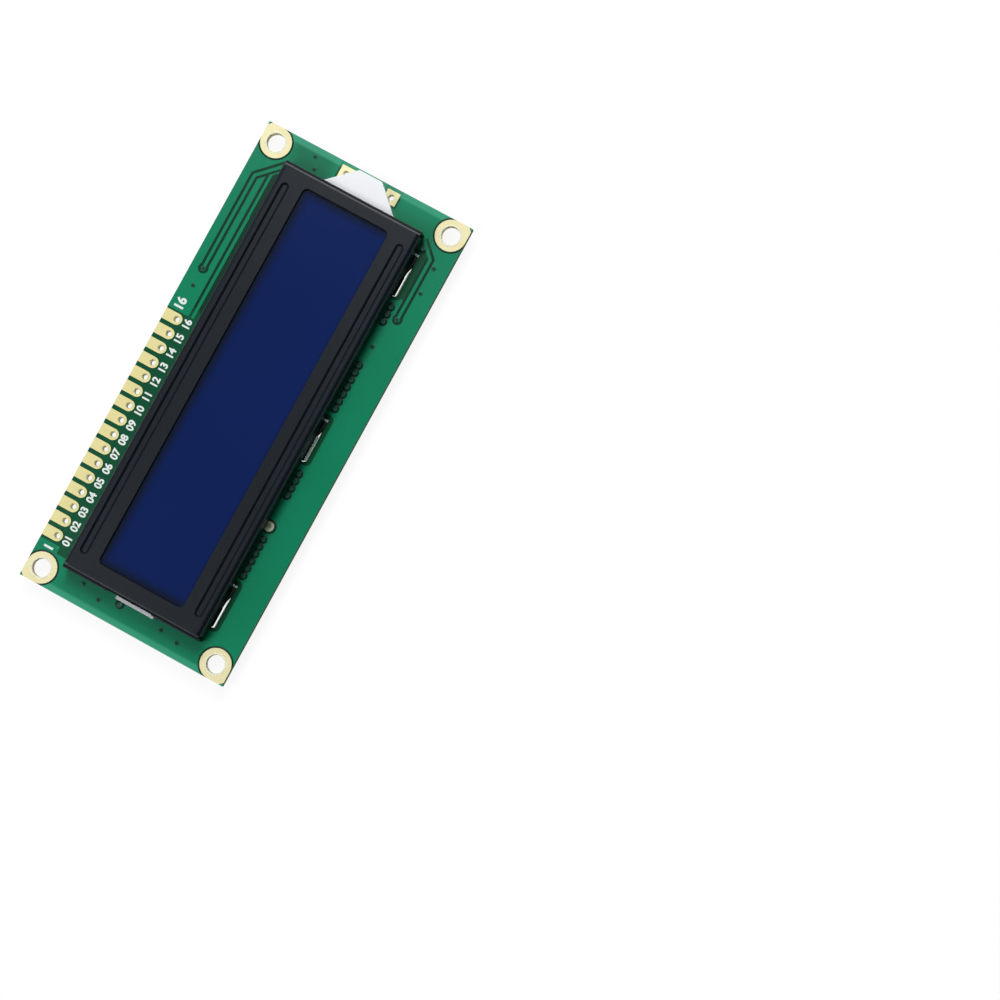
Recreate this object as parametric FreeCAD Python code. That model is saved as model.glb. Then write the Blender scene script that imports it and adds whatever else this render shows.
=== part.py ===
import FreeCAD, Part
import math
import os

os.makedirs("parts", exist_ok=True)
V = FreeCAD.Vector

# Driving dimensions in millimetres. X runs along the board from pin 1, Y points
# to the edge with the row of pads, Z is up. The part rests on its six tab tips at z = 0.
board_length = 80.0
board_width = 36.0
board_thick = 1.6
corner_margin = 2.5
mount_hole_dia = 3.0
bezel_end_margin = 4.4
bezel_side_margin = 5.95
bezel_height = 4.0
sheet = 0.4
window_end_margin = 2.8
window_side_margin = 4.6
pin_count = 16
pin_pitch = 2.54
pin_hole_dia = 1.0
tab_width = 4.0
tab_drop = 1.8

# Sizes and heights that follow from them.
mount_spacing_x = board_length - 2 * corner_margin
mount_spacing_y = board_width - 2 * corner_margin
bezel_length = board_length - 2 * bezel_end_margin
bezel_width = board_width - 2 * bezel_side_margin
window_length = bezel_length - 2 * window_end_margin
window_width = bezel_width - 2 * window_side_margin
z_back = tab_drop
z_top = z_back + board_thick
relief = 0.06
z_bare = z_top - relief
z_face = z_top + bezel_height
z_under = z_face - sheet

# Bezel details.
bend_out = 0.75
bend_in = bend_out - sheet
corner_gap = 0.35
window_shift = 0.35
window_drop = 0.1
window_corner = 0.9
groove_depth = 0.25
groove_top = 1.4
groove_floor = 0.7
groove_y = (bezel_width - window_width) / 4 + window_width / 2 + 0.35
groove_half = window_length / 2 - 0.4
tab_twist = 28.0
notch_from = -3.9
notch_to = 4.4
notch_depth = 0.2

# Cell stack, from the board upward: box floor, reflector, guide, diffuser,
# rear polariser, rear glass, seal, front glass, front polariser.
inner_length = bezel_length - 2 * sheet
inner_width = bezel_width - 2 * sheet
film = 0.1
polariser = 0.15
seal = 0.05
z_glass_top = z_under - groove_depth
stack = z_glass_top - z_top
glass = 0.165 * stack
z_front = z_glass_top - glass
z_seal = z_front - seal
z_rear = z_seal - glass
z_diffuser = z_rear - polariser
z_guide_top = z_diffuser - film
box_floor = 0.165 * stack
z_guide = z_top + box_floor + film
glass_length = inner_length - 1.2
glass_width = inner_width - 0.6
ledge = 2.4
rear_width = glass_width - 2 * ledge
strip_width = 2.0
strip_y = groove_y + 0.05
strip_length = glass_length - 3.0
box_half_x = inner_length / 2 - 0.2
box_half_y = strip_y - strip_width / 2 - 0.3
pocket_half_x = glass_length / 2 - 0.8
pocket_half_y = box_half_y - 0.9
sheet_play = 0.15

# Backlight end: the box carries a flat wedge with the lamp in its tip.
light_y = -0.5
wedge_base = 6.2
wedge_tip = 2.0
wedge_reach = board_length / 2 - bezel_length / 2 - 0.4
wedge_wall = 0.7
lamp_width = 2.4
lamp_depth = 1.0
lug_from = -3.9
lug_to = 2.75
lug_reach = 0.45
lug_height = 0.75 * (z_rear - z_top)

# Board features.
header_inset = 2.25
header_start = 8.0
pin_row_y = board_width / 2 - header_inset
first_pin_x = -board_length / 2 + header_start
last_pin_x = first_pin_x + (pin_count - 1) * pin_pitch
pad_width = 1.82
pad_foil = relief
mount_pad_r = 2.5
clear_gap = 0.3
slot_half = 3.9
slot_in = bezel_width / 2 - sheet - 0.2
slot_out = bezel_width / 2 + 0.58
slot_gap_out = 0.85
slot_pitch = 0.4073 * bezel_length
slot_mid = 0.0
tab_offset = 1.45
lamp_pad_x = board_length / 2 - 1.65
lamp_pad_half = 4.0
lamp_pad_in = 1.05
lamp_pad_side = 1.1
via_row = bezel_width / 2 + 0.55
via_gap_r = 0.74
track_width = 0.5
track_gap = 0.43

# Back of the board.
drop_x = 13.0
drop_y = -1.5
drop_r = 5.6
drop_rise = 0.62 * tab_drop
chip_body = 0.65
chip_end_x = 1.0
chip_side = 0.62
chip_height = 0.5
chip_end_height = 0.55
chip_pitch = 4.2
chip_row_y = 9.0
chip_first_left = -25.0
chip_first_right = 22.0
chip_side_x = 27.5
chip_side_y = 2.5


def box(x0, x1, y0, y1, z0, z1):
    return Part.makeBox(x1 - x0, y1 - y0, z1 - z0, V(x0, y0, z0))


def disc(x, y, r, z0, z1):
    return Part.makeCylinder(r, z1 - z0, V(x, y, z0))


def slab(points, z0, z1):
    points = [p for i, p in enumerate(points) if math.dist(p, points[i - 1]) > 0.001]
    loop = Part.makePolygon([V(x, y, z0) for x, y in points + points[:1]])
    return Part.Face(loop).extrude(V(0, 0, z1 - z0))


def join(shapes):
    return shapes[0].multiFuse(shapes[1:]).removeSplitter() if len(shapes) > 1 else shapes[0]


def arc(x, y, r, start, end, steps):
    turns = [math.radians(start + (end - start) * i / steps) for i in range(steps + 1)]
    return [(x + r * math.cos(t), y + r * math.sin(t)) for t in turns]


def facets(x, y, r, count, z0, z1):
    """A disc as a many-sided prism whose flats touch the circle from outside."""
    return slab(arc(x, y, r / math.cos(math.pi / count), 0, 360, count)[:-1], z0, z1)


def rounded(x0, x1, y0, y1, r, steps, z0, z1):
    corners = [(x1 - r, y1 - r, 0), (x0 + r, y1 - r, 90), (x0 + r, y0 + r, 180), (x1 - r, y0 + r, 270)]
    return slab([q for x, y, a in corners for q in arc(x, y, r, a, a + 90, steps)], z0, z1)


def band(path, width, z0, z1):
    """A flat strip of even width along a bent path, its ends square."""
    left, right = [], []
    for i, (x, y) in enumerate(path):
        before = path[max(i - 1, 0)]
        after = path[min(i + 1, len(path) - 1)]
        a = math.atan2(y - before[1], x - before[0]) if i else None
        b = math.atan2(after[1] - y, after[0] - x) if i < len(path) - 1 else None
        a = b if a is None else a
        b = a if b is None else b
        mid = (a + b) / 2
        reach = width / 2 / math.cos((b - a) / 2)
        dx, dy = -math.sin(mid) * reach, math.cos(mid) * reach
        left.append((x + dx, y + dy))
        right.append((x - dx, y - dy))
    return slab(left + right[::-1], z0, z1)


def ring(half_x, half_y, wall, z0, z1):
    return box(-half_x, half_x, -half_y, half_y, z0, z1).cut(
        box(wall - half_x, half_x - wall, wall - half_y, half_y - wall, z0, z1))


def plate(half_x, half_y, z0, z1):
    return box(-half_x, half_x, -half_y, half_y, z0, z1)


def turned(shape, degrees, x=0.0, y=0.0):
    copy = shape.copy()
    copy.rotate(V(x, y, 0), V(0, 0, 1), degrees)
    return copy


def mount_centres():
    return [(sx * mount_spacing_x / 2, sy * mount_spacing_y / 2) for sx in (-1, 1) for sy in (-1, 1)]


def pin_centres():
    return [(first_pin_x + i * pin_pitch, pin_row_y) for i in range(pin_count)]


def lamp_centres():
    return [(lamp_pad_x, light_y + s * lamp_pad_half) for s in (-1, 1)]


def slot_centres():
    """Slot centres as (x, side); the far row is the near row turned half a turn."""
    near = [(slot_mid + i * slot_pitch, -1) for i in (-1, 0, 1)]
    return near + [(-x, 1) for x, side in near]


def via_centres():
    groups = [(-23.6, 6, 1.26), (-9.6, 4, 1.24), (5.6, 7, 1.26), (20.9, 3, 1.26)]
    out = [(start + i * step, -via_row) for start, count, step in groups for i in range(count)]
    return out + [(-bezel_length / 2 - 1.0, 1.95)]


ground_centre = (-15.1, -(bezel_width / 2 + 0.42))


def mount_pad(x, y, extra, steps, z0, z1):
    """Round pad with a square part that reaches the board corner, the tip cut off."""
    sx, sy = math.copysign(1, x), math.copysign(1, y)
    ex, ey = board_length / 2, board_width / 2
    tip = 0.6 - 0.6 * extra
    around = arc(abs(x), abs(y), mount_pad_r + extra, 90, 360, steps)
    outline = [(ex, abs(y)), (ex, ey - tip), (ex - tip, ey), (abs(x), ey)]
    outline += [(min(px, ex), min(py, ey)) for px, py in around]
    return slab([(sx * px, sy * py) for px, py in outline], z0, z1)


def pin_pad(x, y, steps, z0, z1):
    half = pad_width / 2
    top = board_width / 2
    return slab([(x + half, top), (x - half, top)] + arc(x, y, half, 180, 360, steps), z0, z1)


beside_bezel = bezel_width / 2 + 0.1
far_track = pin_row_y + 0.2
mid_track = beside_bezel + 1.5
near_track = -(beside_bezel + 2.35)
header_end = last_pin_x + 1.2


def tracks(extra, z0, z1):
    """Covered copper tracks beside the display, widened by extra on each side."""
    edge = beside_bezel
    right = bezel_length / 2
    far_end, near_end = 15.0, 22.2
    runs = [
        [(far_end, far_track), (right - 4.15, far_track), (right - 4.15 + far_track - edge, edge)],
        [(header_end, mid_track), (right - 3.1, mid_track), (right - 3.1 + mid_track - edge, edge)],
        [(near_end, near_track), (right - 2.9, near_track), (right - 2.9 - near_track - edge, -edge)],
    ]
    out = [band(path, track_width + 2 * extra, z0, z1) for path in runs]
    out += [facets(far_end, far_track, 0.4 + extra, 12, z0, z1),
            facets(near_end, near_track, 0.4 + extra, 12, z0, z1)]
    return join(out)


def bare_zones():
    """Laminate without copper: round the pads, the slots and the tracks, seen darker through the mask."""
    edge = beside_bezel
    low, high = z_bare, z_top
    header = box(first_pin_x - 1.35, header_end, edge, board_width / 2, low, high)
    labels = box(first_pin_x - 2.5, header_end, edge, edge + 2.3, low, high)
    strip = box(header_end, bezel_length / 2 - 3.3, edge, mid_track, low, high)
    near_x, side = slot_centres()[2]
    x0, x1 = near_x - slot_half, near_x + slot_half
    near = slab([(x0, -edge), (x1 + 1.5, -edge), (x1 - 0.1, near_track + 0.2), (x0 + 0.2, near_track + 0.2)],
                low, high)
    zones = join([header, labels, strip, near, tracks(track_gap, low, high)]).cut(
        tracks(0.0, low, high))
    out = [zones, facets(*ground_centre, 1.1, 16, low, high)]
    out += [mount_pad(x, y, clear_gap, 18, low, high) for x, y in mount_centres()]
    for x, side in slot_centres():
        ys = sorted((side * (slot_in - 0.1), side * (slot_out + slot_gap_out)))
        reach = slot_half + 0.45
        out.append(rounded(x - reach, x + reach, *ys, 0.9, 3, low, high))
    for x, y in lamp_centres():
        out.append(box(x - lamp_pad_in - clear_gap, board_length / 2, y - lamp_pad_side - clear_gap,
                       y + lamp_pad_side + clear_gap, low, high))
    under = box(-bezel_length / 2, bezel_length / 2, -edge, edge, low, high)
    out += [facets(x, y, via_gap_r, 10, low, high).cut(under) for x, y in via_centres()]
    return out


def circuit_board():
    body = box(-board_length / 2, board_length / 2, -board_width / 2, board_width / 2, z_back, z_top)
    cuts = [disc(x, y, mount_hole_dia / 2, z_back, z_top) for x, y in mount_centres()]
    pins = pin_centres()
    cuts += [disc(x, y, pin_hole_dia / 2, z_back, z_top) for x, y in pins[:1] + pins[-1:] + lamp_centres()]
    cuts += [facets(x, y, pin_hole_dia / 2, 12, z_back, z_top) for x, y in pins[1:-1]]
    cuts += [facets(*ground_centre, 0.4, 12, z_back, z_top)]
    for x, side in slot_centres():
        ys = sorted((side * slot_in, side * slot_out))
        cuts.append(rounded(x - slot_half, x + slot_half, *ys, 0.45, 3, z_back, z_top))
    return body.cut(bare_zones() + cuts)


def both_faces(make, x, y, hole_r, sides):
    """The same foil shape on the upper and the lower face of the board, with a hole through both."""
    foil = [make(z_bare, z_bare + pad_foil), make(z_back - pad_foil, z_back)]
    return [f.cut(facets(x, y, hole_r, sides, z_back - 1, z_top + 1)) for f in foil]


def mounting_pads():
    out = []
    for x, y in mount_centres():
        out += both_faces(lambda a, b: mount_pad(x, y, 0.0, 18, a, b), x, y, mount_hole_dia / 2, 24)
    return Part.makeCompound(out)


def header_pads():
    out = []
    for x, y in pin_centres():
        out += both_faces(lambda a, b: pin_pad(x, y, 8, a, b), x, y, pin_hole_dia / 2, 12)
    return Part.makeCompound(out)


def lamp_pads():
    out = []
    for x, y in lamp_centres():
        out += both_faces(lambda a, b: box(x - lamp_pad_in, x + lamp_pad_side, y - lamp_pad_side,
                                             y + lamp_pad_side, a, b),
                          x, y, pin_hole_dia / 2, 12)
    return Part.makeCompound(out)


def ground_pad():
    x, y = ground_centre
    return Part.makeCompound(both_faces(lambda a, b: facets(x, y, 0.8, 16, a, b), x, y, 0.4, 12))


def bent_side(half_run, reach):
    """One side of the sheet: bend and wall, run along X, the wall's outer face at y = -reach."""
    y_out = -reach
    y_in = y_out + sheet
    y_flat = y_out + bend_out
    z_flat = z_face - bend_out
    turn = math.sqrt(0.5)
    p = lambda y, z: V(-half_run, y, z)
    outer = Part.Arc(p(y_out, z_flat),
                     p(y_flat - bend_out * turn, z_flat + bend_out * turn), p(y_flat, z_face))
    inner = Part.Arc(p(y_flat, z_under),
                     p(y_flat - bend_in * turn, z_flat + bend_in * turn), p(y_in, z_flat))
    edges = [
        outer.toShape(),
        Part.makeLine(p(y_flat, z_face), p(y_flat, z_under)),
        inner.toShape(),
        Part.makeLine(p(y_in, z_flat), p(y_in, z_top)),
        Part.makeLine(p(y_in, z_top), p(y_out, z_top)),
        Part.makeLine(p(y_out, z_top), p(y_out, z_flat)),
    ]
    return Part.Face(Part.Wire(edges)).extrude(V(2 * half_run, 0, 0))


def tongue(half_long, half_wide, y, z):
    """Outline of a long groove with round ends, at height z."""
    ends = arc(half_long, y, half_wide, -90, 90, 6) + arc(-half_long, y, half_wide, 90, 270, 6)
    return Part.makePolygon([V(px, py, z) for px, py in ends + ends[:1]])


def pressed_groove(y):
    """The hollow seen from the front and the matching swelling under the sheet."""
    long = groove_half - groove_top / 2
    half_t, half_f = groove_top / 2, groove_floor / 2
    hollow = Part.makeLoft([tongue(long, half_t, y, z_face),
                            tongue(long, half_f, y, z_face - groove_depth)], True, True)
    swelling = Part.makeLoft([tongue(long, half_t + 0.1, y, z_under + 0.01),
                              tongue(long, half_f + 0.1, y, z_under - groove_depth)], True, True)
    return hollow, swelling


def skin(rings):
    """A solid through a stack of outlines with the same number of corners, in flat triangles."""
    faces = [Part.Face(Part.makePolygon(r + r[:1])) for r in (rings[0], rings[-1])]
    for low, high in zip(rings, rings[1:]):
        for i in range(len(low)):
            j = (i + 1) % len(low)
            faces.append(Part.Face(Part.makePolygon([low[i], low[j], high[j], low[i]])))
            faces.append(Part.Face(Part.makePolygon([low[i], high[j], high[i], low[i]])))
    solid = Part.makeSolid(Part.makeShell(faces))
    if solid.Volume < 0:
        solid.reverse()
    return solid


def tab(x, side):
    """A tongue of the wall: straight through the slot, twisted under the board."""
    yc = -(bezel_width / 2 - sheet / 2)
    half = tab_width / 2
    neck = box(-half, half, yc - sheet / 2, yc + sheet / 2, z_back, z_top)
    z_end = z_back - 0.55 * tab_drop
    rings = []
    for i in range(4):
        share = (1 - math.cos(math.pi * i / 3)) / 2
        turn = math.radians(-tab_twist * share)
        z = z_back + (z_end - z_back) * i / 3
        rings.append([V(px * math.cos(turn) - py * math.sin(turn),
                        yc + px * math.sin(turn) + py * math.cos(turn), z)
                      for px, py in ((-half, -sheet / 2), (half, -sheet / 2),
                                     (half, sheet / 2), (-half, sheet / 2))])
    twist = skin(rings)
    tip = box(-half, half, yc - sheet / 2, yc + sheet / 2, 0, z_end)
    whole = join([neck, twist, turned(tip, -tab_twist, 0, yc)])
    whole.translate(V(-x if side > 0 else x, 0, 0))
    return turned(whole, 180) if side > 0 else whole


def bezel():
    """One folded sheet: face with window and two grooves, four walls, six tabs."""
    half_x = bezel_length / 2 - bend_out
    half_y = bezel_width / 2 - bend_out
    face = plate(half_x, half_y, z_under, z_face)
    long_side = bent_side(half_x - 0.1, bezel_width / 2)
    short_side = turned(bent_side(bezel_width / 2 - corner_gap / 2, bezel_length / 2), 90)
    parts = [face, long_side, turned(long_side, 180), short_side, turned(short_side, 180)]
    grooves = [pressed_groove(s * groove_y) for s in (-1, 1)]
    parts += [swelling for hollow, swelling in grooves]
    body = join(parts)
    cuts = [hollow for hollow, swelling in grooves]
    cuts.append(rounded(window_shift - window_length / 2, window_shift + window_length / 2,
                        -window_drop - window_width / 2, window_width / 2 - window_drop,
                        window_corner, 5, z_under, z_face))
    left = -bezel_length / 2
    cuts.append(rounded(left - 2, left + notch_depth, notch_from, notch_to, 0.4, 3,
                        z_top - 1, z_face + 1))
    cuts.append(box(left - 1, left + sheet + 0.2, lug_from - 0.2, lug_to + 0.2, z_top - 1,
                    z_top + lug_height + 0.2))
    wide = wedge_base + 0.25
    cuts.append(box(bezel_length / 2 - sheet - 1.0, bezel_length / 2 + 1, light_y - wide,
                    light_y + wide, z_top - 1, z_rear + 0.2))
    body = body.cut(cuts)
    tabs = [tab(x + (tab_offset if side < 0 else -tab_offset), side) for x, side in slot_centres()]
    return join([body] + tabs)


def wedge(shrink, end, z0, z1):
    """Plan of the lamp end: a trapezoid that narrows toward the board edge."""
    x0 = bezel_length / 2 - sheet - 0.6
    x_wall = bezel_length / 2
    x1 = x_wall + wedge_reach - end
    slope = (wedge_base - wedge_tip) / wedge_reach
    tip = wedge_tip + slope * end - shrink
    base = wedge_base - shrink
    return slab([(x0, light_y - base), (x_wall, light_y - base), (x1, light_y - tip),
                 (x1, light_y + tip), (x_wall, light_y + base), (x0, light_y + base)], z0, z1)


lamp_x = bezel_length / 2 + wedge_reach - wedge_wall - lamp_depth


def light_box():
    """White tray for guide and films, with a lug at one end, and the lamp wedge that closes the other."""
    body = plate(box_half_x, box_half_y, z_top, z_rear)
    lug = box(-bezel_length / 2 - lug_reach, -box_half_x, lug_from, lug_to, z_top,
              z_top + lug_height)
    body = join([body, lug, wedge(0.0, 0.0, z_top, z_rear)])
    pocket = plate(pocket_half_x, pocket_half_y, z_top + box_floor, z_rear)
    throat = wedge(wedge_wall, wedge_wall, z_top + box_floor, z_guide_top + 0.05)
    neck = box(pocket_half_x - 0.1, bezel_length / 2, light_y - wedge_base + wedge_wall,
               light_y + wedge_base - wedge_wall, z_top + box_floor, z_guide_top + 0.05)
    lamp = box(lamp_x - 0.1, lamp_x + lamp_depth + 0.1, light_y - lamp_width / 2 - 0.1,
               light_y + lamp_width / 2 + 0.1, z_top, z_guide_top + 0.05)
    body = body.cut([pocket, throat, neck, lamp])
    end = box(box_half_x, board_length / 2, -box_half_y, box_half_y, z_top, z_rear)
    return Part.makeCompound([body.cut(end), body.common(end)])


def lamp():
    body = box(lamp_x, lamp_x + lamp_depth, light_y - lamp_width / 2, light_y + lamp_width / 2,
               z_top, z_guide_top - 0.2)
    return body


def light_guide():
    """Clear plate that tapers toward the lamp."""
    half_x = pocket_half_x - sheet_play
    half_y = pocket_half_y - sheet_play
    x_wall = bezel_length / 2
    base = wedge_base - wedge_wall - 0.3
    slope = (wedge_base - wedge_tip) / wedge_reach
    x1 = lamp_x - 0.25
    tip = base - slope * (x1 - x_wall)
    neck = slab([(half_x - 0.1, light_y - base), (x_wall, light_y - base), (x1, light_y - tip),
                 (x1, light_y + tip), (x_wall, light_y + base), (half_x - 0.1, light_y + base)],
                z_guide, z_guide_top)
    return join([plate(half_x, half_y, z_guide, z_guide_top), neck])


def contact_strip(side):
    y = side * strip_y
    return box(-strip_length / 2, strip_length / 2, y - strip_width / 2, y + strip_width / 2,
               z_top, z_front)


def blob(x, y):
    """Low dome of hard resin over a bare chip."""
    rings = []
    for i in range(5):
        t = math.radians(78 * i / 4)
        r = drop_r * math.cos(t)
        z = z_back - drop_rise * math.sin(t) / math.sin(math.radians(78))
        rings.append([V(px, py, z) for px, py in arc(x, y, r, 0, 360, 24)[:-1]])
    return skin(rings)


chip_rows = [
    [(chip_first_left + chip_pitch * i, chip_row_y, 0) for i in range(4)],
    [(chip_first_right + chip_pitch * i, chip_row_y, 0) for i in range(3)],
    [(x, y, 90) for x in (-chip_side_x, chip_side_x) for y in (-chip_side_y, chip_side_y)],
]
chip_places = [place for row in chip_rows for place in row]


def chips(x0, x1, height):
    out = []
    for x, y, angle in chip_places:
        piece = box(x + x0, x + x1, y - chip_side, y + chip_side, z_back - height, z_back)
        out.append(turned(piece, angle, x, y))
    return out


def save(name, shape):
    shape.exportStep("parts/" + name + ".step")


half_film_x = pocket_half_x - sheet_play
half_film_y = pocket_half_y - sheet_play
nodes = {
    "circuit_board": circuit_board(),
    "mounting_pads": mounting_pads(),
    "header_pads": header_pads(),
    "lamp_pads": lamp_pads(),
    "ground_pad": ground_pad(),
    "bezel": bezel(),
    "front_polariser": box(window_shift - window_length / 2 - 0.8, window_shift + window_length / 2 + 0.8,
                           -(groove_y - groove_top / 2 - 0.5), groove_y - groove_top / 2 - 0.5,
                           z_glass_top, z_glass_top + min(polariser, groove_depth - 0.05)),
    "front_glass": plate(glass_length / 2, glass_width / 2, z_front, z_glass_top),
    "cell_seal": ring(glass_length / 2 - 0.3, rear_width / 2 - 0.2, 0.8, z_seal, z_front),
    "rear_glass": plate(glass_length / 2, rear_width / 2, z_rear, z_seal),
    "rear_polariser": plate(half_film_x, half_film_y, z_diffuser, z_rear),
    "diffuser_film": plate(half_film_x, half_film_y, z_guide_top, z_diffuser),
    "light_guide": light_guide(),
    "reflector_film": plate(half_film_x, half_film_y, z_top + box_floor, z_guide),
    "light_box": light_box(),
    "lamp": lamp(),
    "contact_strip_near": contact_strip(-1),
    "contact_strip_far": contact_strip(1),
    "driver_blob_left": blob(-drop_x, drop_y),
    "driver_blob_right": blob(drop_x, drop_y),
    "chip_bodies": Part.makeCompound(chips(-chip_body, chip_body, chip_height)),
    "chip_ends": Part.makeCompound(chips(-chip_end_x, -chip_body, chip_end_height)
                                   + chips(chip_body, chip_end_x, chip_end_height)),
}
for name, shape in nodes.items():
    save(name, shape)
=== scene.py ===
import bmesh
import bpy
import math
from mathutils import Matrix, Vector


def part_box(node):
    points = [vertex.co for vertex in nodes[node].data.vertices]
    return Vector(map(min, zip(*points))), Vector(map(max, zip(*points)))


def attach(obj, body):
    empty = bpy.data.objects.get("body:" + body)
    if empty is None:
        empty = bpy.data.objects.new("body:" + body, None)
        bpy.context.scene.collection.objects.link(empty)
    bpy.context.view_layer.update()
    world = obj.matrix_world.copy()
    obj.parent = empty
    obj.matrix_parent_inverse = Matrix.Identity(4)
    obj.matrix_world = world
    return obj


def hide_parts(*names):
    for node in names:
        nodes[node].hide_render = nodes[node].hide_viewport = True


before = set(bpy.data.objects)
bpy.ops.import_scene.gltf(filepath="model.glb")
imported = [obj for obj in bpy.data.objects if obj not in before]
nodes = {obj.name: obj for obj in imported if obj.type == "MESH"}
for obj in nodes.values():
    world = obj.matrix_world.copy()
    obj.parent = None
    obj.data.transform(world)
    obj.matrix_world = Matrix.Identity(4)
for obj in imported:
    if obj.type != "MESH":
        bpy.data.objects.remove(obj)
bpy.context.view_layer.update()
MM = 0.001

# Places read from the CAD solids, in millimetres.
board_low, board_high = [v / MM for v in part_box("circuit_board")]
film_low, film_high = [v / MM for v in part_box("front_polariser")]
blob_low, blob_high = [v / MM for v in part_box("driver_blob_left")]
top = board_high.z
back = board_low.z

# Sizes of the CAD that the pieces made here have to meet, in millimetres.
relief = 0.06  # the mask between copper lies this far below the top
mask_floor = top - relief
bezel_side = 12.1  # just outside the bezel's long walls
pin_pitch = 2.54
pin_xs = [-32.0 + pin_pitch * i for i in range(16)]
pin_y = 15.75
pin_bore = 0.5
lamp_holes = [(38.35, -4.5), (38.35, 3.5)]
corner_holes = [(x, y) for x in (-37.5, 37.5) for y in (-15.5, 15.5)]
corner_bore = 1.5
ground_hole = (-15.1, -12.52)
ground_bore = 0.4
slot_half = 3.9  # half the length of a tab slot
slot_edge = 12.63  # outer wall of a tab slot
shade_reach_by_slot = {-29.0: 0.08, 0.0: 0.42, 29.0: 0.13}  # middle of each slot, and how far its pale ledge of painted shade comes in
slots = [(x, side) for x in shade_reach_by_slot for side in (-1, 1)]


def tone(red, green, blue):
    """A colour written as screen values from 0 to 255."""
    def plain(c):
        c /= 255.0
        return c / 12.92 if c <= 0.04045 else ((c + 0.055) / 1.055) ** 2.4
    return (plain(red), plain(green), plain(blue), 1.0)


# Shared effects.

def start_group(name, inputs, outputs):
    group = bpy.data.node_groups.new(name, "ShaderNodeTree")
    for label, kind, value in inputs:
        socket = group.interface.new_socket(name=label, in_out="INPUT", socket_type=kind)
        if value is not None:
            socket.default_value = value
    for label, kind in outputs:
        group.interface.new_socket(name=label, in_out="OUTPUT", socket_type=kind)
    return group, group.nodes.new("NodeGroupInput"), group.nodes.new("NodeGroupOutput")


def add(tree, kind, **settings):
    node = tree.nodes.new(kind)
    for key, value in settings.items():
        setattr(node, key, value)
    return node


def wire(tree, source, target):
    tree.links.new(source, target)


def maths(tree, operation, first, second=None, third=None):
    node = add(tree, "ShaderNodeMath", operation=operation)
    for i, value in enumerate((first, second, third)):
        if value is None:
            continue
        if isinstance(value, (int, float)):
            node.inputs[i].default_value = value
        else:
            wire(tree, value, node.inputs[i])
    return node.outputs[0]


def blend_colours(tree, factor, first, second):
    node = add(tree, "ShaderNodeMix", data_type="RGBA")
    for socket, value in ((node.inputs[0], factor), (node.inputs[6], first), (node.inputs[7], second)):
        if isinstance(value, (int, float, tuple)):
            socket.default_value = value
        else:
            wire(tree, value, socket)
    return node.outputs[2]


def product(tree, first, second):
    return maths(tree, "MULTIPLY", first, second)


def split(tree, vector):
    """The three parts of a vector."""
    parts = add(tree, "ShaderNodeSeparateXYZ")
    wire(tree, vector, parts.inputs[0])
    return tuple(parts.outputs)


def make_mottle():
    """Soft cloudiness and fine grain over a finish, as two masks around one half."""
    group, given, out = start_group(
        "mottle",
        [("Vector", "NodeSocketVector", None), ("Cloud Scale", "NodeSocketFloat", 60.0),
         ("Grain Scale", "NodeSocketFloat", 2500.0)],
        [("Cloud", "NodeSocketFloat"), ("Grain", "NodeSocketFloat")])
    for label, scale, detail in (("Cloud", "Cloud Scale", 3.0), ("Grain", "Grain Scale", 2.0)):
        spots = add(group, "ShaderNodeTexNoise")
        spots.inputs["Detail"].default_value = detail
        wire(group, given.outputs["Vector"], spots.inputs["Vector"])
        wire(group, given.outputs[scale], spots.inputs["Scale"])
        wire(group, spots.outputs[0], out.inputs[label])
    return group


def make_rubbed():
    """Sparse fine streaks along one direction, as a mask, for handled or rolled surfaces."""
    group, given, out = start_group(
        "rubbed",
        [("Vector", "NodeSocketVector", None), ("Across", "NodeSocketFloat", 900.0),
         ("Along", "NodeSocketFloat", 40.0), ("Amount", "NodeSocketFloat", 0.5)],
        [("Mask", "NodeSocketFloat")])
    joined = add(group, "ShaderNodeCombineXYZ")
    parts = split(group, given.outputs["Vector"])
    for part, stretch, target in zip(parts, ("Along", "Across", "Across"), joined.inputs):
        wire(group, product(group, part, given.outputs[stretch]), target)
    spots = add(group, "ShaderNodeTexNoise")
    spots.inputs["Scale"].default_value = 1.0
    spots.inputs["Detail"].default_value = 3.0
    wire(group, joined.outputs[0], spots.inputs["Vector"])
    cut = add(group, "ShaderNodeMapRange")
    cut.inputs["From Min"].default_value = 0.52
    cut.inputs["From Max"].default_value = 0.72
    wire(group, spots.outputs[0], cut.inputs["Value"])
    wire(group, product(group, cut.outputs[0], given.outputs["Amount"]), out.inputs["Mask"])
    return group


mottle = make_mottle()
rubbed = make_rubbed()


def effect(tree, group, vector, **values):
    node = add(tree, "ShaderNodeGroup", node_tree=group)
    wire(tree, vector, node.inputs["Vector"])
    for label, value in values.items():
        node.inputs[label.replace("_", " ")].default_value = value
    return node


def start_material(name):
    material = bpy.data.materials.new(name)
    material.use_nodes = True
    tree = material.node_tree
    shader = tree.nodes["Principled BSDF"]
    place = add(tree, "ShaderNodeTexCoord")
    return material, tree, shader, place.outputs["Object"]


def stepped(tree, value, low, high):
    """Zero below low, one above high, smooth between."""
    node = add(tree, "ShaderNodeMapRange", interpolation_type="SMOOTHSTEP")
    node.inputs["From Min"].default_value = low
    node.inputs["From Max"].default_value = high
    wire(tree, value, node.inputs["Value"])
    return node.outputs[0]


def stepped_mm(tree, place, low, high):
    return stepped(tree, place, low * MM, high * MM)


def bumped(tree, shader, height, distance, strength):
    bump = add(tree, "ShaderNodeBump")
    bump.inputs["Distance"].default_value = distance
    bump.inputs["Strength"].default_value = strength
    wire(tree, height, bump.inputs["Height"])
    wire(tree, bump.outputs[0], shader.inputs["Normal"])


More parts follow.
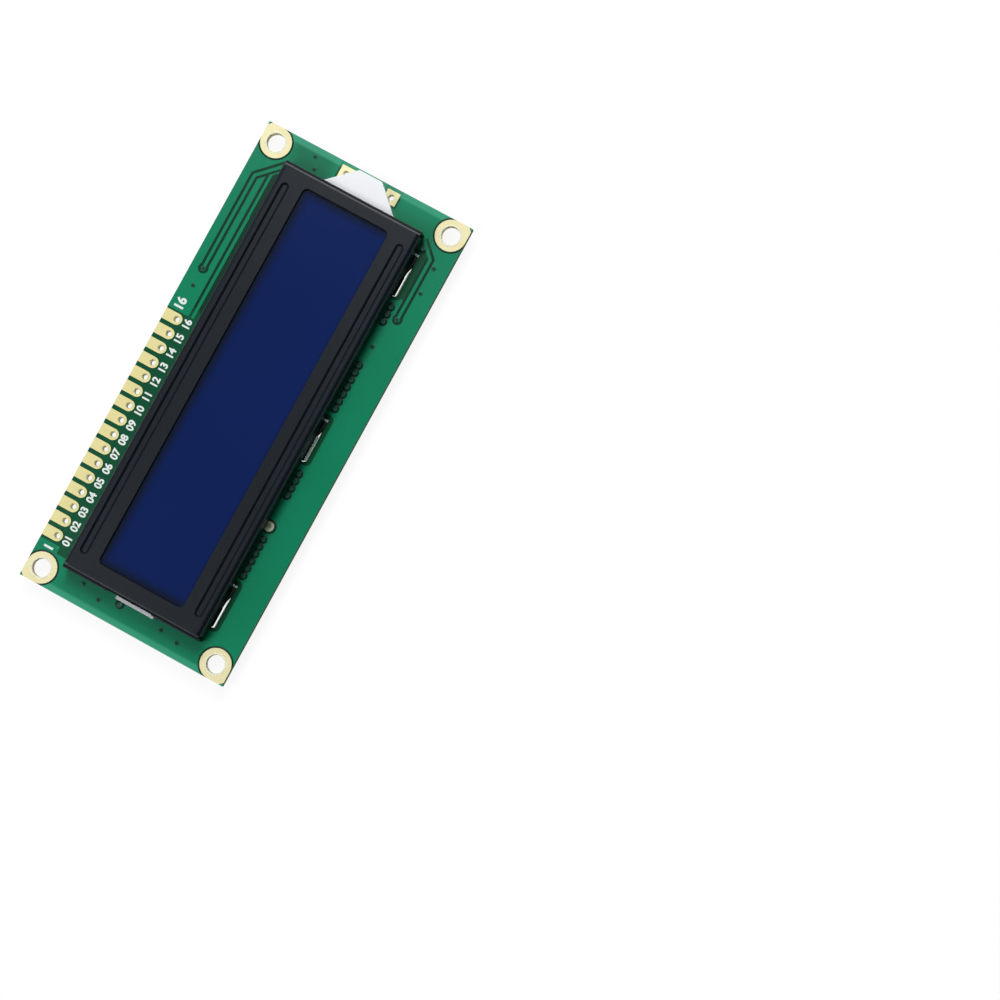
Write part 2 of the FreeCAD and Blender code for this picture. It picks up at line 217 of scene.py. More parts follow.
def finish(name, dark, light, rough, rough_spread=0.1, metallic=0.0, coat=0.0, cloud=90.0,
           grain=3000.0, bump=0.15, depth=0.00002, specular=0.5):
    """A plain finish with cloudy colour, grainy gloss and a fine bump."""
    material, tree, shader, place = start_material(name)
    look = effect(tree, mottle, place, Cloud_Scale=cloud, Grain_Scale=grain)
    wire(tree, blend_colours(tree, look.outputs["Cloud"], dark, light), shader.inputs["Base Color"])
    rough_value = maths(tree, "MULTIPLY_ADD", look.outputs["Grain"], rough_spread * 2, rough - rough_spread)
    wire(tree, rough_value, shader.inputs["Roughness"])
    shader.inputs["Metallic"].default_value = metallic
    shader.inputs["Coat Weight"].default_value = coat
    shader.inputs["Specular IOR Level"].default_value = specular
    bumped(tree, shader, look.outputs["Grain"], depth, bump)
    return material


# Finishes.

def close_tracks(tree, x, y):
    """Where tracks run close together at the board's long edges, and the mask between them is darker."""
    far = product(tree, stepped_mm(tree, x, 8.2, 9.2), stepped_mm(tree, y, 12.0, 12.2))
    down = product(tree, y, -1.0)
    near = product(tree, stepped_mm(tree, x, 14.0, 16.0), stepped_mm(tree, down, 13.7, 13.95))
    return maths(tree, "MAXIMUM", far, near)


def dark_right_patch(tree, x, y, above):
    """A patch on the top, near the right end beside the bezel, where the mask is darker."""
    along = maths(tree, "SUBTRACT", stepped_mm(tree, y, 4.6, 6.6), stepped_mm(tree, y, 11.2, 13.2))
    return product(tree, product(tree, along, stepped_mm(tree, x, 35.6, 36.2)), above)


def laminate_layers(tree, parts):
    """Thin pale and dark layers on the cut sides of the board."""
    squeezed = add(tree, "ShaderNodeCombineXYZ")
    for part, scale, target in zip(parts, (260.0, 260.0, 9000.0), squeezed.inputs):
        wire(tree, product(tree, part, scale), target)
    layers = add(tree, "ShaderNodeTexNoise")
    layers.inputs["Scale"].default_value = 1.0
    wire(tree, squeezed.outputs[0], layers.inputs["Vector"])
    return blend_colours(tree, layers.outputs[0], tone(32, 86, 52), tone(80, 118, 74))


def make_board_mask():
    """Green mask: bright over copper, dark in the gaps, darker in a patch near the right end, with a painted
    highlight along both short ends.
    """
    dark_patch_share = 0.36
    rim_share = 0.55
    material, tree, shader, place = start_material("green_board_mask")
    x, y, z = split(tree, place)
    facing = add(tree, "ShaderNodeTexCoord")
    upright = split(tree, facing.outputs["Normal"])[2]
    flat = stepped(tree, maths(tree, "ABSOLUTE", upright), 0.4, 0.6)
    above = stepped_mm(tree, z, mask_floor - 0.02, mask_floor - 0.01)
    below_face = maths(tree, "SUBTRACT", 1.0, stepped_mm(tree, z, top - 0.03, top - 0.01))
    gap = product(tree, above, below_face)
    look = effect(tree, mottle, place, Cloud_Scale=55.0, Grain_Scale=2600.0)
    copper = blend_colours(tree, look.outputs["Cloud"], tone(0, 121, 84), tone(6, 137, 98))
    bare = blend_colours(tree, look.outputs["Cloud"], tone(0, 68, 42), tone(3, 87, 55))
    bare = blend_colours(tree, close_tracks(tree, x, y), bare, tone(0, 54, 34))
    # Darkens the copper in the patch near the right end, beside the bezel.
    copper = blend_colours(tree, product(tree, dark_right_patch(tree, x, y, above), dark_patch_share), copper, bare)
    colour = blend_colours(tree, gap, copper, bare)
    # A painted highlight: a lighter band along both short ends of the board, where the mask's rounded edge
    # catches light.
    rim = stepped_mm(tree, maths(tree, "ABSOLUTE", x), board_high.x - 1.25, board_high.x - 0.75)
    colour = blend_colours(tree, product(tree, rim, rim_share), colour, tone(70, 176, 140))
    side = laminate_layers(tree, (x, y, z))
    wire(tree, blend_colours(tree, flat, side, colour), shader.inputs["Base Color"])
    gloss = maths(tree, "MULTIPLY_ADD", look.outputs["Grain"], 0.12, 0.19)
    wire(tree, maths(tree, "MULTIPLY_ADD", maths(tree, "SUBTRACT", 1.0, flat), 0.4, gloss),
         shader.inputs["Roughness"])
    shader.inputs["Specular IOR Level"].default_value = 0.22
    weave = add(tree, "ShaderNodeTexVoronoi")
    weave.inputs["Scale"].default_value = 900.0
    wire(tree, place, weave.inputs["Vector"])
    height = maths(tree, "MULTIPLY_ADD", weave.outputs[0], 0.35, look.outputs["Grain"])
    bumped(tree, shader, height, 0.00001, 0.25)
    return material


def make_bezel_paint():
    """Satin black paint over rolled steel, a little cloudy, with faint streaks along it."""
    material, tree, shader, place = start_material("black_bezel_paint")
    look = effect(tree, mottle, place, Cloud_Scale=38.0, Grain_Scale=3800.0)
    streaks = effect(tree, rubbed, place, Across=700.0, Along=25.0, Amount=0.35)
    colour = blend_colours(tree, look.outputs["Cloud"], tone(2, 13, 22), tone(7, 20, 31))
    colour = blend_colours(tree, streaks.outputs[0], colour, tone(18, 29, 39))
    wire(tree, colour, shader.inputs["Base Color"])
    wire(tree, maths(tree, "MULTIPLY_ADD", look.outputs["Grain"], 0.05, 0.31), shader.inputs["Roughness"])
    shader.inputs["Specular IOR Level"].default_value = 0.265
    bumped(tree, shader, look.outputs["Grain"], 0.00001, 0.08)
    return material


def make_window_film():
    """Dark blue film, greyer toward the edge of the window: partly dark print at the film's border, partly a
    painted shadow of the bezel's edge.
    """
    inset = 0.8  # the greyer rim is counted from a line this far inside the film's ends
    rim_share = 0.95
    material, tree, shader, place = start_material("blue_window_film")
    x, y, _ = split(tree, place)
    mid = (film_low + film_high) / 2
    half_x = (film_high.x - film_low.x) / 2 - inset
    off_x = maths(tree, "ABSOLUTE", maths(tree, "SUBTRACT", x, mid.x * MM))
    down = product(tree, y, -1.0)
    # The greyer rim, weaker along the bottom, is partly print and partly painted shadow of the bezel's edge.
    rim = maths(tree, "MAXIMUM", stepped_mm(tree, off_x, half_x - 2.0, half_x + 0.1),
                stepped_mm(tree, y, 5.3, 7.5))
    rim = maths(tree, "MAXIMUM", rim, stepped_mm(tree, down, 6.9, 8.0))
    look = effect(tree, mottle, place, Cloud_Scale=32.0, Grain_Scale=2200.0)
    colour = blend_colours(tree, look.outputs["Cloud"], tone(13, 31, 83), tone(18, 38, 95))
    colour = blend_colours(tree, product(tree, rim, rim_share), colour, tone(20, 27, 38))
    wire(tree, colour, shader.inputs["Base Color"])
    wire(tree, maths(tree, "MULTIPLY_ADD", look.outputs["Grain"], 0.1, 0.12), shader.inputs["Roughness"])
    shader.inputs["Specular IOR Level"].default_value = 0.12
    bumped(tree, shader, look.outputs["Grain"], 0.000004, 0.1)
    return material


def make_striped_rubber():
    """Contact rubber: fine dark and pale layers across its length."""
    material, tree, shader, place = start_material("striped_contact_rubber")
    stripes = add(tree, "ShaderNodeTexWave", wave_type="BANDS", bands_direction="X")
    stripes.inputs["Scale"].default_value = 1600.0
    stripes.inputs["Distortion"].default_value = 0.4
    wire(tree, place, stripes.inputs["Vector"])
    wire(tree, blend_colours(tree, stripes.outputs[1], tone(38, 38, 40), tone(150, 150, 146)),
         shader.inputs["Base Color"])
    wire(tree, maths(tree, "MULTIPLY_ADD", stripes.outputs[1], 0.2, 0.55), shader.inputs["Roughness"])
    bumped(tree, shader, stripes.outputs[1], 0.00001, 0.2)
    return material


def make_clear(name, tint, rough):
    """Clear glass or plastic with a slight tint."""
    material, tree, shader, place = start_material(name)
    look = effect(tree, mottle, place, Cloud_Scale=50.0, Grain_Scale=1500.0)
    wire(tree, blend_colours(tree, look.outputs["Cloud"], tint, (0.95, 0.97, 0.97, 1.0)),
         shader.inputs["Base Color"])
    wire(tree, maths(tree, "MULTIPLY_ADD", look.outputs["Grain"], 0.04, rough), shader.inputs["Roughness"])
    shader.inputs["Transmission Weight"].default_value = 0.9
    shader.inputs["IOR"].default_value = 1.5
    return material


def foil(name, dark, light, metallic=0.15):
    """Pale plate over copper."""
    return finish(name, dark, light, 0.45, 0.09, metallic=metallic, cloud=420.0, grain=5000.0, bump=0.25)


board_mask = make_board_mask()
bezel_paint = make_bezel_paint()
window_film = make_window_film()
contact_rubber = make_striped_rubber()
cell_glass = make_clear("cell_glass_clear", (0.80, 0.90, 0.90, 1.0), 0.02)
guide_clear = make_clear("light_guide_clear", (0.88, 0.92, 0.93, 1.0), 0.06)
gold_foil = foil("pale_gold_foil", tone(230, 220, 164), tone(242, 236, 190))
header_foil = foil("header_pad_foil", tone(222, 211, 142), tone(235, 226, 164))
ground_foil = foil("ground_pad_foil", tone(186, 202, 170), tone(204, 218, 186), metallic=0.1)
plug_solder = finish("dull_ground_plug", tone(146, 160, 136), tone(170, 182, 158), 0.5, 0.1,
                     cloud=1200.0, grain=5000.0, bump=0.35)
# Pale plate, made brighter than its own tone as painted light on the hole walls, which lie in shade inside
# the holes.
plated_wall_and_painted_light = finish("plated_hole_wall", tone(236, 231, 196), tone(246, 243, 216), 0.5, 0.08,
                     cloud=600.0, grain=5000.0, bump=0.2)
white_moulding = finish("white_moulding", tone(238, 241, 245), tone(247, 249, 251), 0.34, 0.07,
                        coat=0.1, cloud=130.0, grain=2600.0, bump=0.12)
white_film = finish("white_film", tone(232, 233, 235), tone(242, 243, 244), 0.6, 0.06)
rear_film = finish("rear_blue_film", tone(22, 34, 78), tone(30, 44, 92), 0.25, 0.05)
seal_resin = finish("seal_resin", tone(150, 150, 140), tone(176, 174, 160), 0.5, 0.08)
lamp_resin = finish("lamp_resin", tone(228, 216, 120), tone(240, 232, 160), 0.3, 0.05, coat=0.3)
black_resin = finish("black_chip_resin", tone(16, 16, 18), tone(27, 27, 30), 0.27, 0.09,
                     cloud=260.0, grain=2100.0, bump=0.35, depth=0.00004)
chip_ceramic = finish("dark_chip_ceramic", tone(24, 24, 27), tone(40, 40, 44), 0.45, 0.1,
                      cloud=700.0, grain=6000.0)
tinned = finish("tinned_ends", tone(176, 178, 180), tone(214, 216, 218), 0.3, 0.12, metallic=0.85,
                cloud=900.0, grain=7000.0, bump=0.35)
white_ink = finish("white_ink", tone(222, 234, 228), tone(240, 246, 242), 0.55, 0.1,
                   cloud=700.0, grain=6500.0, bump=0.3)
cap_mask = finish("via_cap_mask", tone(20, 88, 72), tone(34, 106, 86), 0.3, 0.08,
                  cloud=600.0, grain=2600.0, specular=0.3)
moat_mask = finish("via_moat_mask", tone(0, 38, 27), tone(0, 52, 38), 0.4, 0.08,
                   cloud=600.0, grain=2600.0, specular=0.2)
hollow_mask = finish("via_hollow_mask", tone(0, 44, 32), tone(2, 62, 44), 0.45, 0.08,
                     cloud=900.0, grain=3600.0, specular=0.2)
track_mask = finish("covered_track_mask", tone(14, 142, 102), tone(28, 158, 116), 0.32, 0.08,
                    cloud=300.0, grain=2600.0, specular=0.25)
# A pale finish for the slot ledges, which are painted shade standing in for the shadowed floor.
ledge_shade_finish = finish("slot_painted_shade_ledge", tone(212, 242, 230), tone(226, 250, 242), 0.6, 0.08,
                       cloud=500.0, grain=4200.0, bump=0.4, specular=0.3)
rim_mask = finish("via_rim_mask", tone(2, 86, 62), tone(8, 106, 78), 0.35, 0.08,
                  cloud=900.0, grain=3600.0, specular=0.25)


# CAD nodes that keep their shape.

def soften(piece, edge):
    """Rounds the edges that turn by more than 35 degrees, by a width in millimetres."""
    soft = piece.modifiers.new("softened", "BEVEL")
    soft.width = edge * MM
    soft.segments = 2
    soft.limit_method = "ANGLE"
    soft.angle_limit = math.radians(35)
    soft.use_clamp_overlap = True
    even = piece.modifiers.new("even_faces", "WEIGHTED_NORMAL")
    even.mode = "FACE_AREA"
    even.weight = 100
    even.keep_sharp = False


def dress(name, material, edge=0.0):
    """Puts a finish on a CAD node, with softened edges where it has any."""
    piece = nodes[name]
    piece.data.materials.clear()
    piece.data.materials.append(material)
    if not edge:
        return
    weld = piece.modifiers.new("joined", "WELD")
    weld.merge_threshold = 0.000001
    soften(piece, edge)


dress("circuit_board", board_mask)
dress("bezel", bezel_paint)
dress("front_polariser", window_film, 0.03)
dress("front_glass", cell_glass, 0.04)
dress("rear_glass", cell_glass, 0.04)
dress("cell_seal", seal_resin)
dress("rear_polariser", rear_film, 0.02)
dress("diffuser_film", white_film, 0.02)
dress("reflector_film", white_film, 0.02)
dress("light_guide", guide_clear, 0.04)
dress("lamp", lamp_resin, 0.08)
dress("contact_strip_near", contact_rubber, 0.08)
dress("contact_strip_far", contact_rubber, 0.08)
dress("mounting_pads", gold_foil)
dress("header_pads", header_foil)
dress("lamp_pads", gold_foil)
dress("ground_pad", ground_foil)
dress("chip_bodies", chip_ceramic, 0.06)
dress("chip_ends", tinned, 0.08)


# Pieces made here.

def settle(name, bm, material, smooth=True):
    """Turns a mesh drawn in millimetres into a piece that rides on the part."""
    mesh = bpy.data.meshes.new(name)
    bmesh.ops.scale(bm, vec=(MM, MM, MM), verts=bm.verts)
    bmesh.ops.recalc_face_normals(bm, faces=bm.faces)
    bm.to_mesh(mesh)
    bm.free()
    mesh.materials.append(material)
    if smooth:
        mesh.shade_smooth()
        mesh.set_sharp_from_angle(angle=math.radians(40))
    piece = bpy.data.objects.new(name, mesh)
    bpy.context.scene.collection.objects.link(piece)
    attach(piece, "root")
    return piece


def new_piece(name, build, material):
    bm = bmesh.new()
    build(bm)
    return settle(name, bm, material)


def turn_profile(bm, x, y, profile, count, closed=False):
    """Spins a list of (radius, height) about an upright line at x, y."""
    rings = []
    for r, z in profile:
        if r == 0:
            rings.append([bm.verts.new((x, y, z))])
        else:
            rings.append([bm.verts.new((x + r * math.cos(2 * math.pi * i / count),
                                        y + r * math.sin(2 * math.pi * i / count), z))
                          for i in range(count)])
    pairs = list(zip(rings, rings[1:]))
    if closed:
        pairs.append((rings[-1], rings[0]))
    for low, high in pairs:
        for i in range(count):
            j = (i + 1) % count
            corners = [low[i % len(low)], low[j % len(low)], high[j % len(high)], high[i % len(high)]]
            bm.faces.new(list(dict.fromkeys(corners)))


def turned_at(places, base, profile, count, closed=False):
    """A build that turns one profile at each place, its heights counted from the base."""
    def build(bm):
        for x, y in places:
            turn_profile(bm, x, y, [(r, base + z) for r, z in profile], count, closed)
    return build


def sweep(bm, rows):
    """Skins a closed section given at several stations, and closes both ends."""
    rings = [[bm.verts.new(point) for point in row] for row in rows]
    for near, far in zip(rings, rings[1:]):
        for j in range(len(near)):
            k = (j + 1) % len(near)
            bm.faces.new((near[j], near[k], far[k], far[j]))
    bm.faces.new(rings[0])
    bm.faces.new(rings[-1][::-1])


def barrel(bm, x, y, r, count, collar=0.0):
    """Plated wall of a hole, its rims rounded over, with a flat collar on the pad if asked."""
    wall = 0.035
    out = r - 0.006
    rounding = wall * 0.4
    rim = [(out, top - 0.004), (out - rounding, top)]
    if collar:
        rim = [(out, top - 0.01), (r + collar, top + 0.001), (r + collar - 0.05, top + 0.012),
               (r, top + 0.014)]
    turn_profile(bm, x, y, [(out, back)] + rim + [(out - wall, top - 0.03), (out - wall, back + 0.03),
                                                  (out - rounding, back - 0.02)], count, closed=True)


def hole_walls(bm):
    for x in pin_xs:
        barrel(bm, x, pin_y, pin_bore, 20)
    for x, y in lamp_holes:
        barrel(bm, x, y, pin_bore, 20)
    barrel(bm, *ground_hole, ground_bore, 16)
    for x, y in corner_holes:
        barrel(bm, x, y, corner_bore, 40, collar=0.26)


new_piece("plated_hole_walls", hole_walls, plated_wall_and_painted_light)


# A dished fill in the small plated hole beside the bezel.
plug = [(0.0, -0.5), (0.355, -0.5), (0.355, -0.03), (0.28, -0.07), (0.14, -0.12), (0.0, -0.13)]
new_piece("ground_plug", turned_at([ground_hole], top, plug, 16), plug_solder)


def tray_and_wedge(bm):
    """The guide tray and the lamp wedge, apart where they meet, so each has its own soft edges."""
    seam = 35.0  # where the two meet along X
    hair = 0.001
    bm.from_mesh(nodes["light_box"].data)
    bmesh.ops.scale(bm, vec=(1 / MM, 1 / MM, 1 / MM), verts=bm.verts)
    tray, wedge = [], []
    for point in bm.verts:
        face = point.link_faces[0]
        just_inside = face.calc_center_median().x - hair * face.normal.x
        (tray if just_inside < seam else wedge).append(point)
    for solid in (tray, wedge):
        bmesh.ops.remove_doubles(bm, verts=solid, dist=hair)


moulding = new_piece("tray_and_wedge", tray_and_wedge, white_moulding)
soften(moulding, 0.08)
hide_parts("light_box")

via_row_y = -12.65
via_groups = [(-23.6, 6, 1.26), (-9.6, 4, 1.24), (5.6, 7, 1.26), (20.9, 3, 1.26)]
row_vias = [(start + i * step, via_row_y) for start, count, step in via_groups for i in range(count)]
row_vias += [(-36.6, 1.95), (33.7, -12.65)]
dot_vias = [(-37.6, 5.27), (-37.6, -8.64), (-36.5, 8.46), (-37.0, -5.53), (11.9, 16.06), (16.7, -13.13),
            (27.4, -15.68), (31.74, -15.68), (38.4, 8.96), (36.6, 8.16), (15.0, 15.95), (22.2, -14.45)]


def pad_moats(bm):
    """Narrow bands of thin mask, round the ground pad and most of the way round the corner pads."""
    profile = [(2.515, top - 0.02), (2.53, top + 0.003), (2.70, top + 0.004), (2.74, top - 0.02)]
    first, turned, count = 100, 250, 50
    for x, y in corner_holes:
        out_x, out_y = math.copysign(1, x), math.copysign(1, y)
        rows = []
        for i in range(count + 1):
            turn = math.radians(first + turned * i / count)
            rows.append([(out_x * min(abs(x) + r * math.cos(turn), board_high.x - 0.01),
                          out_y * min(abs(y) + r * math.sin(turn), board_high.y - 0.01), z)
                         for r, z in profile])
        sweep(bm, rows)
    turn_profile(bm, *ground_hole, [(0.83, top - 0.02), (0.84, top + 0.003), (1.18, top + 0.004),
                                    (1.24, top - 0.02)], 32, closed=True)


# The covered vias, as profiles of (radius, height above the base) turned at each of them.
cap = [(0.0, -0.01), (0.40, -0.01), (0.37, 0.035), (0.28, 0.045), (0.14, 0.02), (0.0, 0.008)]
moat = [(0.72, -0.005), (0.70, 0.006), (0.45, 0.008), (0.39, 0.02), (0.38, -0.005)]
hollow = [(0.0, -0.01), (0.27, -0.01), (0.25, 0.005), (0.12, 0.003), (0.0, 0.002)]
raised_rim = [(0.43, -0.005), (0.41, 0.005), (0.33, 0.009), (0.27, 0.007), (0.26, -0.005)]
new_piece("covered_via_caps", turned_at(row_vias, mask_floor, cap, 16), cap_mask)
new_piece("via_moats", turned_at(row_vias, mask_floor, moat, 20, closed=True), moat_mask)
new_piece("via_hollows", turned_at(dot_vias, top, hollow, 16), hollow_mask)
new_piece("via_rims", turned_at(dot_vias, top, raised_rim, 20, closed=True), rim_mask)
new_piece("pad_moats", pad_moats, moat_mask)


def slot_span(mid, side, near, far):
    """The two ends of a stretch of a slot, counted from its middle toward one side, lower end first."""
    return sorted((mid + side * near, mid + side * far))


def shade_lip(bm, x0, x1, side, outer):
    """A dark lip of painted shade from the bezel's wall out to a given reach, drawn in at both ends."""
    inner = bezel_side - 0.1
    depth = -0.9
    tuck, run = 0.12, 0.1
    section = [(inner, depth), (inner, 0.05), (bezel_side - 0.01, 0.05), (bezel_side + 0.02, -0.03),
               (outer - 0.07, -0.04), (outer, -0.11), (outer, depth)]
    stations = ((x0, tuck), (x0 + run, 0.0), (x1 - run, 0.0), (x1, tuck))
    sweep(bm, [[(x, side * min(y, outer - drawn), top + z) for y, z in section] for x, drawn in stations])


def slot_shade_lips(bm):
    """Dark lips in each slot, on both sides of the twisted tab: painted shade, dark sheets standing in for
    the bezel's shadow in the slot.
    """
    wall_reach = bezel_side + 0.13
    end_length = 0.34
    for mid, side in slots:
        shade_lip(bm, *slot_span(mid, side, slot_half - 0.1, 0.5), side, wall_reach)
        shade_lip(bm, *slot_span(mid, -side, slot_half, slot_half - end_length), side, slot_edge)


def pale_shade_ledge(bm, x0, x1, side, reach):
    """A pale ledge along the outer wall of a slot, its inner edge uneven: painted shade, standing in for the
    shadowed floor seen through the slot.
    """
    step = 0.3
    depth = -0.4
    unevenness = 0.16
    steps = max(2, round((x1 - x0) / step))
    outer = slot_edge + 0.08
    rows = []
    for i in range(steps + 1):
        x = x0 + (x1 - x0) * i / steps
        inner = slot_edge - reach * (1 + unevenness * math.sin(2.7 * i + x0))
        section = ((outer, depth), (outer, 0.004 - relief), (inner + 0.03, -relief - 0.015), (inner, depth))
        rows.append([(x, side * y, top + z) for y, z in section])
    sweep(bm, rows)


def slot_shade_ledges(bm):
    """A long ledge of painted shade past the tab, and a small one at the slot's other end."""
    end_reach = 0.6
    for mid, side in slots:
        pale_shade_ledge(bm, *slot_span(mid, side, slot_half - 0.25, -0.6), side, shade_reach_by_slot[mid])
        pale_shade_ledge(bm, *slot_span(mid, -side, slot_half - 0.35, slot_half - 0.7), side, end_reach)


# Dark lips of painted shade in the slots.
new_piece("slot_shade_lips", slot_shade_lips, bezel_paint)
# Pale ledges of painted shade in the slots.
new_piece("slot_shade_ledges", slot_shade_ledges, ledge_shade_finish)


# Covered tracks on the back, as (x, y) paths in millimetres.
drop_mids = (-13.0, 13.0)
drop_y = -1.5


def rim_point(mid, degrees):
    """A point on the circle round a resin drop where its tracks end."""
    circle = 5.0
    turn = math.radians(degrees)
    return mid + circle * math.cos(turn), drop_y + circle * math.sin(turn)


def fan(xs, mid, first, last, path):
    """Paths that spread from a row of starts to even steps round a resin drop."""
    steps = len(xs) - 1
    return [path(x) + [rim_point(mid, first + (last - first) * i / steps)] for i, x in enumerate(xs)]


def straight_up(x):
    return [(x, -12.3), (x, -10.4)]


def back_paths():
    """Tracks from the vias and pins to the drops, between the drops, and to the chips and lamp pads."""
    vias = [x for x, y in row_vias if y == via_row_y]
    paths = fan([x for x in vias if x < 0], drop_mids[0], 212, 322, straight_up)
    paths += fan([x for x in vias if 0 < x < 30], drop_mids[1], 216, 318, straight_up)
    lanes = [-23.3, -22.5, -19.1, -18.3, -14.9, -14.1, -10.6, -9.8]
    pins = dict(zip(lanes, pin_xs[3:11]))
    paths += fan(lanes, drop_mids[0], 150, 58,
                 lambda x: [(pins[x], 14.9), (pins[x], 12.6), (x, 12.6 - abs(pins[x] - x)), (x, 6.6)])
    for i in range(8):
        y = -4.4 + 0.7 * i
        paths.append([(-8.6, y), (0.7 - 0.3 * i, y), (1.5 - 0.3 * i, y + 0.8), (8.6, y + 0.8)])
    paths += [[(15.5, 3.0), (15.5, 5.3), (19.2, 9.0), (21.1, 9.0)], [(22.9, 9.0), (25.3, 9.0)],
              [(27.1, 9.0), (29.5, 9.0)], [(18.0, -0.2), (25.6, -0.2), (27.5, 1.6)],
              [(18.2, -1.5), (27.4, -1.5)], [(37.4, 3.5), (27.6, 3.5)],
              [(37.4, -4.5), (29.4, -4.5), (28.4, -3.5), (27.6, -3.5)], [(-18.2, -1.5), (-27.4, -1.5)],
              [(-18.0, -0.2), (-25.6, -0.2), (-27.5, 1.6)], [(-27.5, 3.4), (-27.5, 7.5), (-26.0, 9.0)]]
    return paths


def back_tracks(bm):
    """Flat tracks under the mask on the back of the board, their edges sloped."""
    half = 0.14
    slope = 0.03
    raised, sunk = -0.012, 0.005
    section = ((-half, sunk), (half, sunk), (half - slope, raised), (slope - half, raised))
    for path in back_paths():
        points = [Vector(point) for point in path]
        rows = []
        for i, point in enumerate(points):
            after = (points[min(i + 1, len(points) - 1)] - points[min(i, len(points) - 2)]).normalized()
            before = (points[max(i, 1)] - points[max(i - 1, 0)]).normalized()
            ahead = (before + after).normalized()
            across = Vector((-ahead.y, ahead.x)) / max(ahead.dot(after), 0.6)
            rows.append([(*(point + across * off), back + z) for off, z in section])
        sweep(bm, rows)


new_piece("back_tracks", back_tracks, track_mask)
# Filled vias on the back, each a low cap with a dimple.
back_cap = [(0.0, 0.01), (0.42, 0.01), (0.38, -0.014), (0.26, -0.018), (0.12, -0.008), (0.0, -0.006)]
new_piece("back_caps", turned_at(row_vias + dot_vias, back, back_cap, 16), track_mask)


def number_piece(name, floor, marks):
    """Plain numbers printed on the mask. marks are (text, x, y, height)."""
    font_share = 1.38  # size of the font over the height of its numbers
    stroke_share = 0.05
    ink = 0.012
    lift = 0.013  # of the middle of the print, so that it just clears the mask
    bm = bmesh.new()
    for text, x, y, height in marks:
        curve = bpy.data.curves.new(name + text, "FONT")
        curve.body = text
        curve.align_x = "CENTER"
        curve.align_y = "CENTER"
        curve.size = height * font_share
        curve.offset = height * stroke_share
        curve.extrude = ink
        curve.resolution_u = 4
        stamp = bpy.data.objects.new(name + text, curve)
        bpy.context.scene.collection.objects.link(stamp)
        bpy.context.view_layer.update()
        mesh = bpy.data.meshes.new_from_object(stamp)
        mesh.transform(Matrix.Translation((x, y, floor + lift)))
        bm.from_mesh(mesh)
        bpy.data.objects.remove(stamp)
        bpy.data.curves.remove(curve)
        bpy.data.meshes.remove(mesh)
    bmesh.ops.remove_doubles(bm, verts=bm.verts, dist=0.0005)
    settle(name, bm, white_ink, smooth=False)


number_piece("pad_numbers", mask_floor, [("%02d" % (i + 1), x, 13.88, 1.2) for i, x in enumerate(pin_xs)])
number_piece("end_numbers", top, [("1", -34.2, 15.97, 1.5), ("16", 8.5, 16.35, 1.5)])


def dome(bm, x, y):
    """Poured resin: a low drop with a slightly uneven rim and a soft crown."""
    radius = (blob_high.x - blob_low.x) / 2
    rise = back - blob_low.z
    count, levels = 72, 14
    rings = []
    for level in range(levels):
        t = math.radians(90 * level / levels)
        ring = []
        for i in range(count):
            turn = 2 * math.pi * i / count
            wave = 1 + 0.018 * math.sin(3 * turn + x) + 0.012 * math.sin(5 * turn + 1.3 * x)
            r = min(radius * (math.cos(t) ** 0.85) * wave, radius)
            ring.append(bm.verts.new((x + r * math.cos(turn), y + r * math.sin(turn),
                                      back - rise * math.sin(t) ** 1.15 * 0.995)))
        rings.append(ring)
    crown = bm.verts.new((x, y, back - rise))
    for low, high in zip(rings, rings[1:]):
        for i in range(count):
            j = (i + 1) % count
            bm.faces.new((low[i], low[j], high[j], high[i]))
    for i in range(count):
        bm.faces.new((rings[-1][i], rings[-1][(i + 1) % count], crown))
    bm.faces.new(rings[0][::-1])


for mid, node in zip(drop_mids, ("driver_blob_left", "driver_blob_right")):
    name = node.replace("driver_blob", "resin_drop")
    drop = new_piece(name, lambda bm: dome(bm, mid, drop_y), black_resin)
    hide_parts(node)


# Floor, light and camera.

def make_floor():
    """A wide pale floor. The camera sees it almost white, with a faint shadow of the part."""
    span = 4.0
    glow_share = 0.87
    mesh = bpy.data.meshes.new("studio_floor")
    mesh.from_pydata([(-span, -span, 0), (span, -span, 0), (span, span, 0), (-span, span, 0)], [],
                     [(0, 1, 2, 3)])
    floor = bpy.data.objects.new("studio_floor", mesh)
    bpy.context.scene.collection.objects.link(floor)
    material = bpy.data.materials.new("pale_floor")
    material.use_nodes = True
    tree = material.node_tree
    tree.nodes.clear()
    out = add(tree, "ShaderNodeOutputMaterial")
    matt = add(tree, "ShaderNodeBsdfDiffuse")
    matt.inputs["Color"].default_value = (0.9, 0.9, 0.9, 1.0)
    glow = add(tree, "ShaderNodeEmission")
    glow.inputs["Strength"].default_value = 1.04
    path = add(tree, "ShaderNodeLightPath")
    seen = maths(tree, "MAXIMUM", path.outputs["Is Camera Ray"], path.outputs["Is Transmission Ray"])
    mixed = add(tree, "ShaderNodeMixShader")
    wire(tree, product(tree, seen, glow_share), mixed.inputs[0])
    wire(tree, matt.outputs[0], mixed.inputs[1])
    wire(tree, glow.outputs[0], mixed.inputs[2])
    wire(tree, mixed.outputs[0], out.inputs["Surface"])
    mesh.materials.append(material)


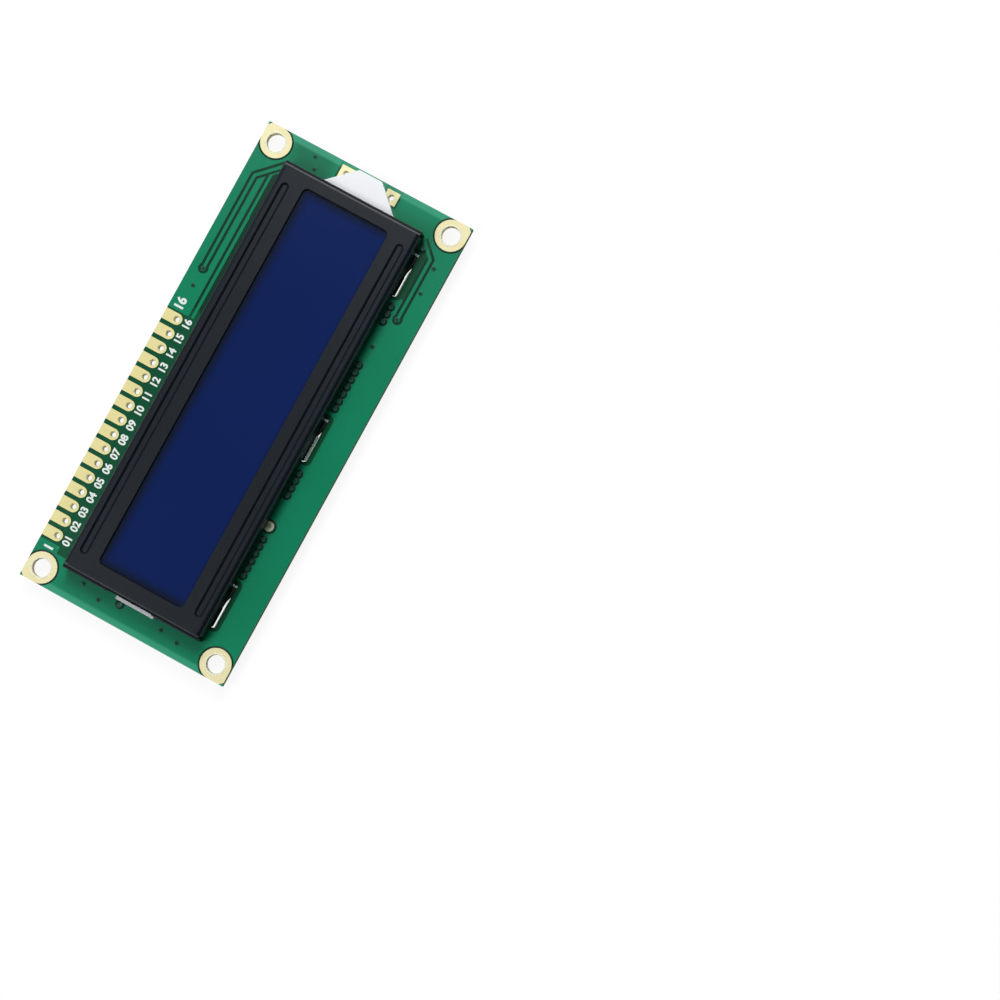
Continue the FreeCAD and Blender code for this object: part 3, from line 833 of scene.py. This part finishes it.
def make_world():
    """Dim even light on the part, and white behind it."""
    world = bpy.data.worlds.new("studio_air")
    bpy.context.scene.world = world
    world.use_nodes = True
    tree = world.node_tree
    tree.nodes.clear()
    out = add(tree, "ShaderNodeOutputWorld")
    path = add(tree, "ShaderNodeLightPath")
    lit = add(tree, "ShaderNodeBackground")
    lit.inputs["Color"].default_value = (0.97, 0.985, 1.0, 1.0)
    lit.inputs["Strength"].default_value = 0.1
    seen = add(tree, "ShaderNodeBackground")
    seen.inputs["Color"].default_value = (1.0, 1.0, 1.0, 1.0)
    seen.inputs["Strength"].default_value = 1.0
    mixed = add(tree, "ShaderNodeMixShader")
    wire(tree, path.outputs["Is Camera Ray"], mixed.inputs[0])
    wire(tree, lit.outputs[0], mixed.inputs[1])
    wire(tree, seen.outputs[0], mixed.inputs[2])
    wire(tree, mixed.outputs[0], out.inputs["Surface"])


def soft_lamp(name, place, size_x, size_y, power):
    """A rectangular lamp at a place in metres, turned toward the part."""
    light = bpy.data.lights.new(name, "AREA")
    light.shape = "RECTANGLE"
    light.size = size_x
    light.size_y = size_y
    light.energy = power
    lamp = bpy.data.objects.new(name, light)
    bpy.context.scene.collection.objects.link(lamp)
    lamp.location = place
    lamp.rotation_euler = (-Vector(place)).to_track_quat("-Z", "Y").to_euler()


def make_camera():
    """Where the photograph's camera stood, in millimetres, and which way is right and up in its picture."""
    place = Vector((-8.72, -84.48, 446.79))
    right = Vector((0.47964, -0.87475, -0.06902)).normalized()
    up = Vector((0.8769, 0.47501, 0.07363))
    toward = right.cross(up).normalized()
    up = toward.cross(right).normalized()
    data = bpy.data.cameras.new("photo_camera")
    data.sensor_width = 36.0
    data.lens = 105.12
    data.clip_start = 0.01
    data.clip_end = 20.0
    camera = bpy.data.objects.new("photo_camera", data)
    bpy.context.scene.collection.objects.link(camera)
    turn = Matrix((right, up, toward)).transposed()
    camera.matrix_world = Matrix.Translation(place * MM) @ turn.to_4x4()
    bpy.context.scene.camera = camera


make_floor()
make_world()
soft_lamp("left_softbox", (-0.30, 0.24, 0.66), 0.25, 0.3, 1.65)
soft_lamp("right_softbox", (0.44, 0.12, 0.58), 0.3, 0.3, 2.3)
soft_lamp("right_top_softbox", (0.31, 0.17, 0.70), 0.25, 0.3, 1.3)
soft_lamp("far_softbox", (-0.05, 0.62, 0.46), 1.3, 0.6, 1.4)
make_camera()
bpy.context.scene.view_settings.view_transform = "Standard"
